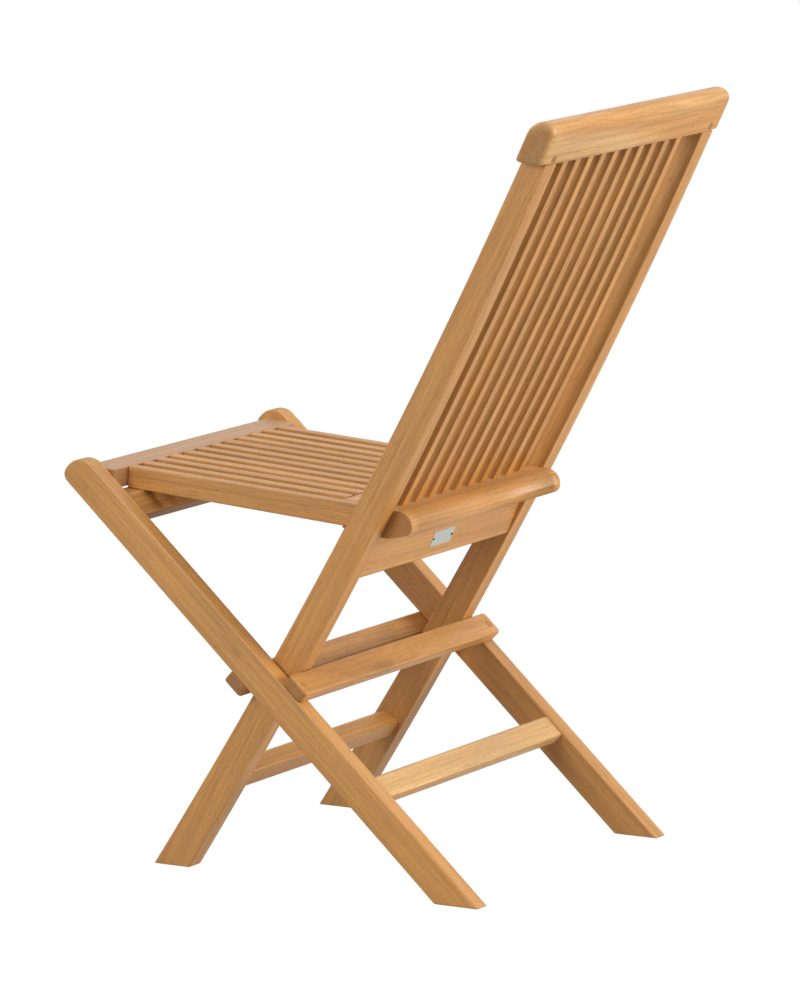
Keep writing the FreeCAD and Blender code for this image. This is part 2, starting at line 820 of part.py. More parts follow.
def chair_pieces():
    pieces = {}

    def pair(name, left):
        pieces[name + "_left"] = left
        pieces[name + "_right"] = mirrored(left)

    pair("back_stile", back_stile())
    pieces["top_rail"] = top_rail()
    for number, centre in enumerate(row_of_centres(back_slat_count)):
        pieces["back_slat_%02d" % (number + 1)] = back_slat(centre)
    pieces["nosing_board"] = nosing_board()
    pieces["apron_rail"] = apron_rail()
    pieces["front_stretcher"] = front_stretcher()
    pair("top_rail_peg", top_rail_peg(1, 0.0))
    pair("rear_leg", rear_leg())
    pieces["leg_crossbar"] = leg_crossbar()
    pieces["rear_stop_bar"] = rear_stop_bar()
    pieces["front_stop_bar"] = front_stop_bar()
    pieces["rear_stretcher"] = rear_stretcher()
    pair("stop_bar_plug", stop_bar_plug(1, 0.0))
    pair("leg_pivot_pin", leg_pivot_pin())
    pair("leg_pivot_washer", leg_pivot_washer())
    pieces["seat_front_board"] = seat_front_board()
    pair("seat_side_rail", seat_side_rail())
    for number, centre in enumerate(row_of_centres(seat_slat_count)):
        pieces["seat_slat_%02d" % (number + 1)] = seat_slat(centre)
    pieces["seat_rear_rail"] = seat_rear_rail()
    pair("seat_pivot_pin", seat_pivot_pin())
    return pieces


def main():
    os.makedirs("parts", exist_ok=True)
    pieces = chair_pieces()
    boxes = [shape.optimalBoundingBox(False) for shape in pieces.values()]
    front = min(box.YMin for box in boxes)
    rear = max(box.YMax for box in boxes)
    middle = (front + rear) / 2.0
    for name, shape in pieces.items():
        placed = shape.translated(FreeCAD.Vector(0, -middle, 0))
        placed.exportStep("parts/" + name + ".step")
    height = max(box.ZMax for box in boxes)
    width = max(box.XMax for box in boxes) - min(box.XMin for box in boxes)
    print("pieces %d, width %.1f, depth %.1f, height %.1f" % (len(pieces), width, rear - front, height))
    print("shift in y %.3f" % -middle)
    print("leg pivot y %.3f z %.3f" % (leg_pivot[0] - middle, leg_pivot[1]))
    print("seat pivot y %.3f z %.3f" % (seat_pivot[0] - middle, seat_pivot[1]))


main()
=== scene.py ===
"""The looks of a folding teak side chair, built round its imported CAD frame.

Metres, X is the sitter's left, Y is to the rear, Z is up. Every wooden member is modelled again
with eased edges and takes the place of its CAD node; pins, washers and plugs keep their CAD mesh.
"""

import math

import bmesh
import bpy
from mathutils import Matrix, Vector


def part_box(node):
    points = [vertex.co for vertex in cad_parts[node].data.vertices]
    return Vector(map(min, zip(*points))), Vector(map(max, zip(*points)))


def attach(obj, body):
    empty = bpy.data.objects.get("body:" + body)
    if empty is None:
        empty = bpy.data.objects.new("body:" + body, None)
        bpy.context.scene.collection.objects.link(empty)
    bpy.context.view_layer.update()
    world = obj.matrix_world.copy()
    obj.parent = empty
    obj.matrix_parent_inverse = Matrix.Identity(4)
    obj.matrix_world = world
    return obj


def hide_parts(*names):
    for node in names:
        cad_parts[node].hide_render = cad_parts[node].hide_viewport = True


bl_info = {
    "name": "Folding teak side chair",
    "version": (1, 0, 0),
    "blender": (4, 5, 0),
    "location": "3D View > Sidebar > Teak chair",
    "description": "Eased teak boards, slats and fittings on the packed frame of a folding chair",
    "category": "Object",
}

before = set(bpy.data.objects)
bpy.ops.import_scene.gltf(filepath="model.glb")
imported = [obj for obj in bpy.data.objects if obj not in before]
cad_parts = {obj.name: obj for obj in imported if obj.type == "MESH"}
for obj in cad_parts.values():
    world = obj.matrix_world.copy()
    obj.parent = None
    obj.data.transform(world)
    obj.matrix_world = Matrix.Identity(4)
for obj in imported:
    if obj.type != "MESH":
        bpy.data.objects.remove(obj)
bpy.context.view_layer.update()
leg_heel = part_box("rear_leg_left")[1].y    # rear end of the legs, on the floor

MM = 0.001
HAIR = 0.01 * MM    # what lies closer than this counts as touching
CUT_SLACK = 0.001 * MM
SHARP = math.radians(35.0)
ACROSS = Vector((1.0, 0.0, 0.0))
REARWARD = Vector((0.0, 1.0, 0.0))
UPWARD = Vector((0.0, 0.0, 1.0))
SIDES = (("left", 1.0), ("right", -1.0))
RAIL_FALL = 0.32    # fall of the top rail's underside for each unit forward
NOSING_EASE = 0.8 * MM
BOARD_EASE = 1.4 * MM
SLAT_RAIL_EASE = 1.0 * MM
PLATE_CORNER, PLATE_EASE = 1.5 * MM, 0.15 * MM
LIP_DROP = 0.766    # from the top of the nosing to its lip, as a share of its thickness
LIP_SLANT = 0.43    # how far in front of the flat the underside starts, as a share of it
LAMP_AIM = Vector((0.0, 0.0, 0.45))
LAMPS = (    # name, place, size, power
    ("Rear soft light", (-1.0, 4.5, 1.4), 2.2, 165.0),
    ("Side soft light", (4.0, -0.6, 2.1), 1.8, 76.0),
    ("Top soft light", (0.0, 0.3, 4.0), 2.6, 44.0),
)
CAMERA_PLACE = (7.1615, 4.0954, 1.8124)
CAMERA_AIM = Vector((0.0, -0.0015, 0.4280))
CAMERA_LENS = 252.1
CAMERA_SENSOR = 36.0
CAMERA_REACH = 100.0


# What a user would change


def length(name, description, millimetres, least=0.0):
    return bpy.props.FloatProperty(name=name, description=description, default=millimetres * MM,
                                   min=least * MM, unit="LENGTH")


def slope(name, description, degrees):
    return bpy.props.FloatProperty(name=name, description=description, default=math.radians(degrees),
                                   unit="ROTATION")


def colour(name, description, red, green, blue):
    return bpy.props.FloatVectorProperty(name=name, description=description, size=4, subtype="COLOR",
                                         min=0.0, max=1.0, default=(red, green, blue, 1.0))


class TeakChairSizes(bpy.types.PropertyGroup):
    leg_slope: slope("Leg slope", "Slope of the rear legs from the floor", 42.4)
    stile_foot_slope: slope("Stile foot slope", "Slope of the back stiles at the floor", 57.4)
    stile_bend_radius: length("Stile bend", "Radius of the bend of the back stiles", 7812.0)
    stile_foot_depth: length("Stile foot depth", "Depth of a back stile at the floor", 41.2)
    stile_length: length("Stile length", "Rear edge of a stile from the floor to the top rail", 994.0)
    stile_taper: bpy.props.FloatProperty(name="Stile taper", default=0.011,
                                         description="Depth that a stile loses for each unit of length")
    rear_leg_foot: length("Leg spread", "From the rear corner of a stile foot to that of a leg foot", 409.2)
    leg_tip_lower_round: length("Leg tip, lower round", "Round under the front end of a leg", 11.9)
    leg_tip_upper_round: length("Leg tip, upper round", "Round on top of the front end of a leg", 23.8)
    stile_round: length("Stile round", "Round on the edges of the back stiles", 1.8)
    leg_round: length("Leg round", "Round on the edges of the legs", 2.3)
    board_round: length("Seat board round", "Round on the front edges of the seat board", 5.0)
    bar_round: length("Bar round", "Round on the long edges of bars and stretchers", 2.6)
    slat_round: length("Slat round", "Round on the edges of slats", 1.1)
    crown_slope: slope("Crown slope", "Slope of the top rail's crown down to its front", 16.0)
    crown_drop: length("Crown drop", "From the highest line of the crown to its middle", 0.9)
    crown_front_round: length("Crown, front round", "Round on the front of the top rail", 18.8)
    crown_rear_round: length("Crown, rear round", "Round on the rear of the top rail", 16.8)
    rail_end_round: length("Top rail end round", "Round at each end of the top rail", 12.0)
    rail_low_round: length("Top rail lower round", "Round on the lower edges of the top rail", 4.0)
    bar_end_round: length("Bar end round", "Round on the corners of the stop bars' ends", 5.0)
    rail_edge_round: length("Seat rail edge", "Round on the edges of the seat rails", 1.8)
    nosing_thickness: length("Nosing thickness", "Thickness of the board at the rear of the seat", 35.0)
    apron_height: length("Apron height", "Height of the apron rail", 50.0)
    apron_thickness: length("Apron thickness", "Thickness of the apron rail", 20.0)
    apron_low_inset: length("Apron inset, bottom", "Apron set in from the stiles' rear at its foot", 2.0)
    apron_high_inset: length("Apron inset, top", "Apron set in from the stiles' rear at the nosing", 7.0)
    nosing_reach: length("Nosing reach", "From the flat of the nosing board to its rear", 18.3)
    nosing_upper_round: length("Nosing, upper round", "Round on the rear edge of the nosing board", 16.5)
    nosing_lower_round: length("Nosing, lower round", "Round under the rear edge of the nosing board", 8.2)
    notch_gap: length("Notch gap", "Between a seat rail and the side of its notch", 1.5)
    plate_width: length("Plate width", "Width of the bare metal plate", 49.0)
    plate_height: length("Plate height", "Height of the bare metal plate", 21.0)
    plate_thickness: length("Plate thickness", "Thickness of the bare metal plate", 0.6)
    plate_rise: length("Plate rise", "From the bottom of the apron to the middle of the plate", 27.0)
    plate_offset: length("Plate offset", "From the middle of the apron to that of the plate", -2.6, -200.0)
    nail_radius: length("Nail radius", "Radius of the two nail heads in the plate", 1.7)
    nail_spread: length("Nail spread", "Distance between the two nails", 43.8)


class TeakChairFinish(bpy.types.PropertyGroup):
    light_wood: colour("Light wood", "Colour between the grain lines", 0.67, 0.330, 0.094)
    dark_wood: colour("Dark wood", "Colour of the grain lines", 0.36, 0.142, 0.028)
    warm_wood: colour("Warm wood", "Colour of the reddish stretches", 0.63, 0.298, 0.078)
    board_wood: colour("Seat board wood", "Colour of the pinkish seat board", 0.54, 0.285, 0.12)
    pale_wood: colour("Pale wood", "Colour of the palest boards", 0.74, 0.44, 0.17)
    end_wood: colour("End grain", "Colour of the cut ends", 0.22, 0.090, 0.016)
    knot_wood: colour("Knot", "Colour at the heart of a knot", 0.22, 0.09, 0.03)
    brass: colour("Brass", "Colour of the hinge pins and washers", 0.72, 0.52, 0.22)
    plate: colour("Plate", "Colour of the bare metal plate", 0.70, 0.69, 0.65)
    nail: colour("Nail", "Colour of the nail heads", 0.02, 0.018, 0.016)
    floor: colour("Floor", "Colour of the floor and backdrop", 1.0, 1.0, 1.0)
    bounce: colour("Floor bounce", "Colour in which the floor sends light back up", 0.42, 0.41, 0.38)


def sizes():
    return bpy.context.scene.teak_chair_sizes


def finish():
    return bpy.context.scene.teak_chair_finish


# Places, in the side view of the chair


def corners_of(node):
    return [vertex.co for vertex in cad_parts[node].data.vertices]


def reach(node, direction):
    """Lowest and highest place of a CAD node along a direction."""
    places = [direction.dot(corner) for corner in corners_of(node)]
    return min(places), max(places)


def x_span(node):
    """Right and left face of a CAD node."""
    low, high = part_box(node)
    return low.x, high.x


def row_of(start):
    """The CAD nodes whose names start alike, numbered from 1."""
    return enumerate(sorted(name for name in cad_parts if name.startswith(start)), 1)


def slat_pitch(row):
    return x_span(row + "_02")[0] - x_span(row + "_01")[0]


def bend_centre():
    """Centre of the bend of the stiles, whose rear edges start on the floor."""
    foot, bend = sizes().stile_foot_slope, sizes().stile_bend_radius
    heel = Vector((0.0, leg_heel - sizes().rear_leg_foot, 0.0))
    return heel + Vector((0.0, -math.sin(foot) * bend, math.cos(foot) * bend))


def side_axes(turn):
    """The rearward and the upward direction, both turned by an angle in the side view."""
    return Vector((0.0, math.cos(turn), math.sin(turn))), Vector((0.0, -math.sin(turn), math.cos(turn)))


def stile_directions(station):
    """Up along a stile and forward out of its front, at a distance along it."""
    return side_axes(sizes().stile_foot_slope + station / sizes().stile_bend_radius)


def stile_point(station, inset, x=0.0):
    forward = stile_directions(station)[1]
    return bend_centre() - forward * (sizes().stile_bend_radius - inset) + ACROSS * x


def leg_directions():
    """Up along a leg toward the seat, and out of its rear face."""
    up, ahead = side_axes(math.pi - sizes().leg_slope)
    return up, -ahead


def seat_directions():
    """Forward along the seat and square up from it, read from the top of an outer slat."""
    corners = corners_of("seat_slat_01")
    front = max(corners, key=lambda corner: corner.z)
    rear = max(corners, key=lambda corner: corner.y + 0.5 * corner.z)    # the upper rear corner
    forward = Vector((0.0, front.y - rear.y, front.z - rear.z)).normalized()
    return forward, Vector((0.0, forward.z, -forward.y))


def on_stile(place):
    """Distance along the stiles' rear edge and in front of it, for a place."""
    foot, bend = sizes().stile_foot_slope, sizes().stile_bend_radius
    away = (place - bend_centre()) * Vector((0.0, 1.0, 1.0))
    return (math.atan2(away.y, -away.z) - foot) * bend, bend - away.length


def bent_reach(node):
    """Reach of a CAD node along the stiles' rear edge, and in front of it."""
    stations, insets = zip(*(on_stile(corner) for corner in corners_of(node)))
    return (min(stations), max(stations)), (min(insets), max(insets))


# Mesh tools


def whole(mesh):
    return mesh.verts[:] + mesh.edges[:] + mesh.faces[:]


def drawn_out(mesh, faces, way):
    """Extrudes faces along a way."""
    grown = bmesh.ops.extrude_face_region(mesh, geom=faces)
    moved = [item for item in grown["geom"] if isinstance(item, bmesh.types.BMVert)]
    bmesh.ops.translate(mesh, verts=moved, vec=way)


def cut_board(corners, x0, x1):
    """A board with a side view outline, from one place across the chair to another."""
    mesh = bmesh.new()
    face = mesh.faces.new([mesh.verts.new(corner + ACROSS * x0) for corner in corners])
    drawn_out(mesh, [face], ACROSS * (x1 - x0))
    bmesh.ops.recalc_face_normals(mesh, faces=mesh.faces)
    return mesh


def square_bar(along, behind, spans, x0, x1):
    """A square bar, its side view given by two directions and its reach along each."""
    (a0, a1), (b0, b1) = spans
    corners = [along * a + behind * b for a, b in ((a0, b0), (a1, b0), (a1, b1), (a0, b1))]
    return cut_board(corners, x0, x1)


def cad_bar(node, directions, x0, x1):
    """A square bar as large as its CAD node, its side view lying along two directions."""
    return square_bar(*directions, [reach(node, direction) for direction in directions], x0, x1)


def bent_strip(x0, x1, stations, insets, steps):
    """A strip that follows the bend of the stiles."""
    mesh = bmesh.new()
    section = ((x0, insets[0]), (x1, insets[0]), (x1, insets[1]), (x0, insets[1]))
    mesh.faces.new([mesh.verts.new(stile_point(stations[0], inset, x)) for x, inset in section])
    angle = (stations[1] - stations[0]) / sizes().stile_bend_radius
    bmesh.ops.spin(mesh, geom=whole(mesh), cent=bend_centre(), axis=ACROSS, dvec=(0.0, 0.0, 0.0),
                   angle=angle, steps=steps, use_duplicate=False)
    bmesh.ops.remove_doubles(mesh, verts=mesh.verts, dist=HAIR)
    bmesh.ops.recalc_face_normals(mesh, faces=mesh.faces)
    return mesh


def sawn_off(mesh, spot, outward):
    """Cuts away what lies beyond a plane and closes the cut."""
    cut = bmesh.ops.bisect_plane(mesh, geom=whole(mesh), plane_co=spot, plane_no=outward,
                                 clear_outer=True, dist=CUT_SLACK)
    rim = [item for item in cut["geom_cut"] if isinstance(item, bmesh.types.BMEdge)]
    bmesh.ops.edgeloop_fill(mesh, edges=rim)
    bmesh.ops.recalc_face_normals(mesh, faces=mesh.faces)


def rounded(mesh, edges, radius, segments=4):
    bmesh.ops.bevel(mesh, geom=edges, offset=radius, offset_type="OFFSET", segments=segments,
                    profile=0.5, affect="EDGES", clamp_overlap=True, material=-1)


def width_of(edge):
    """How far an edge runs across the chair."""
    return abs(edge.verts[0].co.x - edge.verts[1].co.x)


def edges_near(mesh, spot):
    """Edges across the chair that pass a side view spot."""
    least, near = 5.0 * MM, 0.6 * MM
    found = []
    for edge in mesh.edges:
        crossing = (edge.verts[0].co + edge.verts[1].co) / 2.0 - spot
        if width_of(edge) > least and math.hypot(crossing.y, crossing.z) < near:
            found.append(edge)
    return found


def round_at(mesh, spot, radius, segments):
    """Rounds the corner that a piece has at a side view spot."""
    rounded(mesh, edges_near(mesh, spot), radius, segments)


def eased(mesh, radius, segments=4):
    """Rounds every sharp edge of a piece."""
    rounded(mesh, sharp_edges(mesh), radius, segments)


def sharp_edges(mesh):
    return [edge for edge in mesh.edges if edge.calc_face_angle(0.0) > SHARP]


def long_edges(mesh):
    """Sharp edges that run across the chair."""
    least = 20.0 * MM
    return [edge for edge in sharp_edges(mesh) if width_of(edge) > least]


def end_edges(mesh, x):
    """Edges in the plane of one end of a piece that lies across the chair."""
    return [edge for edge in mesh.edges if all(abs(v.co.x - x) < HAIR for v in edge.verts)]


def linked(name, data):
    """A new object in the scene."""
    thing = bpy.data.objects.new(name, data)
    bpy.context.scene.collection.objects.link(thing)
    return thing


def mesh_data(mesh, name, material):
    """Turns a mesh made here into the data of an object."""
    data = bpy.data.meshes.new(name)
    mesh.to_mesh(data)
    mesh.free()
    data.materials.append(bpy.data.materials[material])
    return data


def placed(mesh, name, body, material, *nodes):
    """Makes the piece, which rides on its body and stands for its CAD nodes."""
    data = mesh_data(mesh, name, material)
    data.shade_smooth()
    piece = linked(name, data)
    steady = piece.modifiers.new("Flat faces stay flat", "WEIGHTED_NORMAL")
    steady.mode = "FACE_AREA"
    steady.weight = 60
    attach(piece, body)
    if nodes:
        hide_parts(*nodes)


# Finishes


class Wiring:
    """Short words for adding and joining nodes in one tree."""

    def __init__(self, tree):
        self.tree = tree

    def feed(self, socket, value):
        if isinstance(value, bpy.types.NodeSocket):
            self.tree.links.new(value, socket)
        else:
            socket.default_value = value

    def fill(self, node, values):
        """Feeds the inputs of a node, by name or in order."""
        for label, value in values.items() if isinstance(values, dict) else enumerate(values):
            self.feed(node.inputs[label], value)

    def node(self, kind, values=(), **settings):
        """Adds a node, sets it up, feeds its inputs and gives its outputs."""
        node = self.tree.nodes.new(kind)
        for name, value in settings.items():
            setattr(node, name, value)
        self.fill(node, values)
        return node.outputs

    def group(self, name, values):
        return self.node("ShaderNodeGroup", values, node_tree=bpy.data.node_groups[name])

    def maths(self, operation, *values):
        return self.node("ShaderNodeMath", values, operation=operation)[0]

    def plus(self, a, b):
        return self.maths("ADD", a, b)

    def minus(self, a, b):
        return self.maths("SUBTRACT", a, b)

    def times(self, a, b):
        return self.maths("MULTIPLY", a, b)

    def vector(self, operation, *values, output="Vector"):
        return self.node("ShaderNodeVectorMath", values, operation=operation)[output]

    def axis(self, place, number):
        """One of the three numbers of a place."""
        return self.node("ShaderNodeSeparateXYZ", [place])[number]

    def noise(self, place, scale, detail=2.0, roughness=0.5, dimensions="3D"):
        way = "W" if dimensions == "1D" else "Vector"
        values = {way: place, "Scale": scale, "Detail": detail, "Roughness": roughness}
        return self.node("ShaderNodeTexNoise", values, noise_dimensions=dimensions)["Fac"]

    def band(self, *values):
        """Eases a value from one range to another, 0 to 1 if none is given, and keeps it there."""
        return self.node("ShaderNodeMapRange", values, interpolation_type="SMOOTHSTEP", clamp=True)[0]

    def blend(self, share, a, b):
        """Mixes two colours, whose sockets come after those of numbers and vectors."""
        return self.node("ShaderNodeMix", {0: share, 6: a, 7: b}, data_type="RGBA")[2]

    def bump(self, height, strength, depth):
        return self.node("ShaderNodeBump", {"Height": height, "Strength": strength, "Distance": depth})[0]


def node_group(name, inputs, outputs):
    """A new shader node group: its wiring, what it is given and what it puts out."""
    group = bpy.data.node_groups.new(name, "ShaderNodeTree")
    for label, kind, default in inputs:
        socket = group.interface.new_socket(label, in_out="INPUT", socket_type="NodeSocket" + kind)
        socket.default_value = default
    for label, kind in outputs:
        group.interface.new_socket(label, in_out="OUTPUT", socket_type="NodeSocket" + kind)
    given, out = (group.nodes.new(kind) for kind in ("NodeGroupInput", "NodeGroupOutput"))
    return Wiring(group), given.outputs, out.inputs


def make_knot_group():
    """A knot: how dark its heart is, and how far it pushes the grain aside."""
    w, given, out = node_group("Knot", [
        ("Place", "Vector", (0.0, 0.0, 0.0)), ("Centre", "Vector", (9.0, 9.0, 9.0)),
        ("Radius", "Float", 0.01), ("Stretch", "Float", 0.45),
    ], [("Heart", "Float"), ("Push", "Float")])
    reach_of_push = -0.22
    squeeze = w.node("ShaderNodeCombineXYZ", (given["Stretch"], 1.0, 1.0))[0]
    near = w.vector("MULTIPLY", w.vector("SUBTRACT", given["Place"], given["Centre"]), squeeze)
    away = w.maths("DIVIDE", w.vector("LENGTH", near, output="Value"), given["Radius"])
    square = w.times(away, away)
    ragged = w.times(square, w.band(w.noise(given["Place"], 260.0), 0.3, 0.7, 1.2, 3.4))
    w.feed(out["Heart"], w.maths("EXPONENT", w.times(ragged, -1.0)))
    w.feed(out["Push"], w.times(w.maths("EXPONENT", w.times(square, reach_of_push)), given["Radius"]))


def make_grain_group():
    """Teak grain. X of its place runs along the grain; lines, pores and tone come from stretched noise."""
    w, given, out = node_group("Teak grain", [
        ("Place", "Vector", (0.0, 0.0, 0.0)), ("Heart", "Vector", (0.0, 0.06, 0.03)),
        ("Ring Spacing", "Float", 0.005), ("Wander", "Float", 0.012), ("Push", "Float", 0.0),
        ("End", "Float", 0.0), ("Line Strength", "Float", 0.4), ("Tone", "Float", 0.0),
        ("Split", "Float", 0.0), ("Split Strength", "Float", 0.0),
        ("Light", "Color", (0.6, 0.35, 0.16, 1.0)), ("Dark", "Color", (0.4, 0.2, 0.07, 1.0)),
        ("Warm", "Color", (0.6, 0.32, 0.15, 1.0)), ("End Colour", "Color", (0.27, 0.12, 0.05, 1.0)),
    ], [("Color", "Color"), ("Roughness", "Float"), ("Height", "Float")])
    ring_share, streak_share, growth_share, pore_share = 0.42, 0.45, 0.40, 0.30
    end_rings, end_share = 0.6, 0.6
    seam_drift, seam_share = 0.9, 6.0
    place = given["Place"]

    def stretched(share, scale, detail=2.0, roughness=0.5):
        return w.noise(w.vector("MULTIPLY", place, (share, 1.0, 1.0)), scale, detail, roughness)

    drift = w.times(w.minus(stretched(0.14, 16.0), 0.5), given["Wander"])
    across = w.vector("MULTIPLY", place, (0.0, 1.0, 1.0))
    radius = w.vector("LENGTH", w.vector("SUBTRACT", across, given["Heart"]), output="Value")
    radius = w.plus(w.plus(radius, drift), given["Push"])
    ring = w.maths("DIVIDE", radius, given["Ring Spacing"])
    rings = w.band(w.noise(ring, 1.0, 3.0, 0.6, "1D"), 0.42, 0.66)
    growth = w.band(w.noise(w.times(ring, 0.27), 1.0, 1.0, 0.5, "1D"), 0.36, 0.66)

    fibres = stretched(0.025, 520.0, 3.0, 0.6)
    ribbons = stretched(0.04, 130.0, 2.0, 0.6)
    streaks = w.band(stretched(0.035, 240.0, 3.0, 0.6), 0.50, 0.68)
    pores = w.band(stretched(0.08, 800.0, 1.0, 0.4), 0.60, 0.70)
    patches = w.band(stretched(0.16, 22.0), 0.36, 0.64)
    clouds = w.band(stretched(0.3, 9.0, 3.0, 0.6), 0.3, 0.7, -0.07, 0.07)

    wood = w.blend(patches, given["Light"], given["Warm"])
    strands = w.plus(w.times(rings, ring_share), w.times(streaks, streak_share))
    strands = w.plus(strands, w.times(growth, growth_share))
    wood = w.blend(w.times(strands, given["Line Strength"]), wood, given["Dark"])
    wood = w.blend(w.times(pores, pore_share), wood, given["End Colour"])
    ends = w.blend(w.times(rings, end_rings), given["End Colour"], given["Dark"])
    wood = w.blend(w.times(given["End"], end_share), wood, ends)

    edge = w.plus(w.minus(w.axis(place, 1), given["Split"]), w.times(drift, seam_drift))
    zone = w.minus(w.band(edge, -0.0006, 0.0006), 0.5)
    seam = w.band(w.maths("ABSOLUTE", edge), 0.0002, 0.0011, 1.0, 0.0)
    wood = w.blend(w.times(seam, w.times(given["Split Strength"], seam_share)), wood, given["Dark"])
    tone = w.plus(given["Tone"], clouds)
    tone = w.plus(tone, w.times(zone, given["Split Strength"]))
    tone = w.plus(tone, w.band(ribbons, 0.34, 0.66, -0.05, 0.05))
    tone = w.plus(tone, w.band(fibres, 0.36, 0.64, 0.93, 1.08))
    w.feed(out["Color"], w.node("ShaderNodeHueSaturation", {"Color": wood, "Value": tone})[0])

    rough = w.plus(w.times(rings, 0.08), w.band(fibres, 0.3, 0.7, 0.34, 0.46))
    w.feed(out["Roughness"], w.plus(rough, w.times(given["End"], 0.12)))
    height = w.minus(w.times(fibres, 0.6), w.times(pores, 0.8))
    w.feed(out["Height"], w.plus(height, w.times(rings, 0.15)))


def make_scuff_group():
    """Fine rubbed marks on metal: a mask and a height."""
    w, given, out = node_group("Metal rub", [
        ("Place", "Vector", (0.0, 0.0, 0.0)),
        ("Fineness", "Float", 900.0),
    ], [("Mask", "Float"), ("Height", "Float")])
    long_marks = w.noise(w.vector("MULTIPLY", given["Place"], (0.05, 1.0, 1.0)), given["Fineness"])
    blotches = w.band(w.noise(given["Place"], 240.0, 4.0, 0.7), 0.42, 0.66)
    w.feed(out["Mask"], w.times(blotches, long_marks))
    w.feed(out["Height"], long_marks)


def turn_onto(along, outward):
    """Rotation that lays the pattern's X along the grain and its Z out of a face."""
    along = along.normalized()
    side = outward.cross(along).normalized()
    return Matrix((along, side, along.cross(side))).transposed().to_euler()


def new_material(name):
    """A new material: its wiring, its Principled shader and its texture coordinates."""
    material = bpy.data.materials.new(name)
    material.use_nodes = True
    w = Wiring(material.node_tree)
    return w, w.tree.nodes["Principled BSDF"], w.node("ShaderNodeTexCoord")


def teak_material(name, along, outward, origin, heart, spacing=0.005, wander=0.012, lines=0.42,
                  tone=0.0, knots=(), steps=None, split=(0.0, 0.0), light=None, warm=None):
    """A teak finish for members that share a grain direction.

    Knots are (place, radius, stretch, darkness). Steps, for a row of slats, are their pitch and how far
    their tones lie apart; split is the place of a glue line across the grain and its strength.
    """
    w, shader, source = new_material(name)
    turn = turn_onto(along, outward)
    values = {"Vector": source["Object"], "Location": origin, "Rotation": turn}
    turned = w.node("ShaderNodeMapping", values, vector_type="TEXTURE")[0]
    place = turned
    if steps:
        pitch, spread = steps
        above_zero, shift = 100.0, 0.37
        count = w.maths("FLOOR", w.plus(w.maths("DIVIDE", w.axis(source["Object"], 0), pitch), above_zero))
        chance = w.node("ShaderNodeTexWhiteNoise", {"W": count}, noise_dimensions="1D")
        tone = w.plus(w.times(w.minus(chance["Value"], 0.5), 2.0 * spread), tone)
        moved = {"Vector": chance["Color"], "Scale": shift}
        place = w.vector("ADD", place, w.node("ShaderNodeVectorMath", moved, operation="SCALE")[0])

    facing = w.vector("DOT_PRODUCT", source["Normal"], tuple(along.normalized()), output="Value")
    values = {
        "Place": place, "Heart": heart, "Ring Spacing": spacing, "Wander": wander, "Line Strength": lines,
        "Tone": tone, "Split": split[0], "Split Strength": split[1],
        "Light": light or finish().light_wood, "Dark": finish().dark_wood,
        "Warm": warm or finish().warm_wood, "End Colour": finish().end_wood,
        "End": w.band(w.maths("ABSOLUTE", facing), 0.35, 1.0),
    }
    hearts = []
    for centre, radius, stretch, darkness in knots:
        local = turn.to_matrix().transposed() @ (Vector(centre) - Vector(origin))
        knot = w.group("Knot", {"Place": turned, "Centre": local, "Radius": radius, "Stretch": stretch})
        hearts.append(w.times(knot["Heart"], darkness))
        values["Push"] = w.plus(values["Push"], knot["Push"]) if "Push" in values else knot["Push"]
    grain = w.group("Teak grain", values)
    colour_out = grain["Color"]
    for share in hearts:
        colour_out = w.blend(share, colour_out, finish().knot_wood)
    w.fill(shader, {"Base Color": colour_out, "Roughness": grain["Roughness"], "Specular IOR Level": 0.6,
                    "Normal": w.bump(grain["Height"], 0.25, 0.4 * MM)})


def metal_material(name, tint, roughness, rub):
    w, shader, source = new_material(name)
    marks = w.group("Metal rub", {"Place": source["Object"]})
    darkening, roughening = 0.55, 0.3
    darker = tuple(darkening * value for value in tint[:3]) + (1.0,)
    w.fill(shader, {"Base Color": w.blend(w.times(marks["Mask"], rub), tint, darker),
                    "Roughness": w.plus(w.times(marks["Mask"], roughening), roughness),
                    "Normal": w.bump(marks["Height"], 0.15, 0.2 * MM), "Metallic": 1.0})


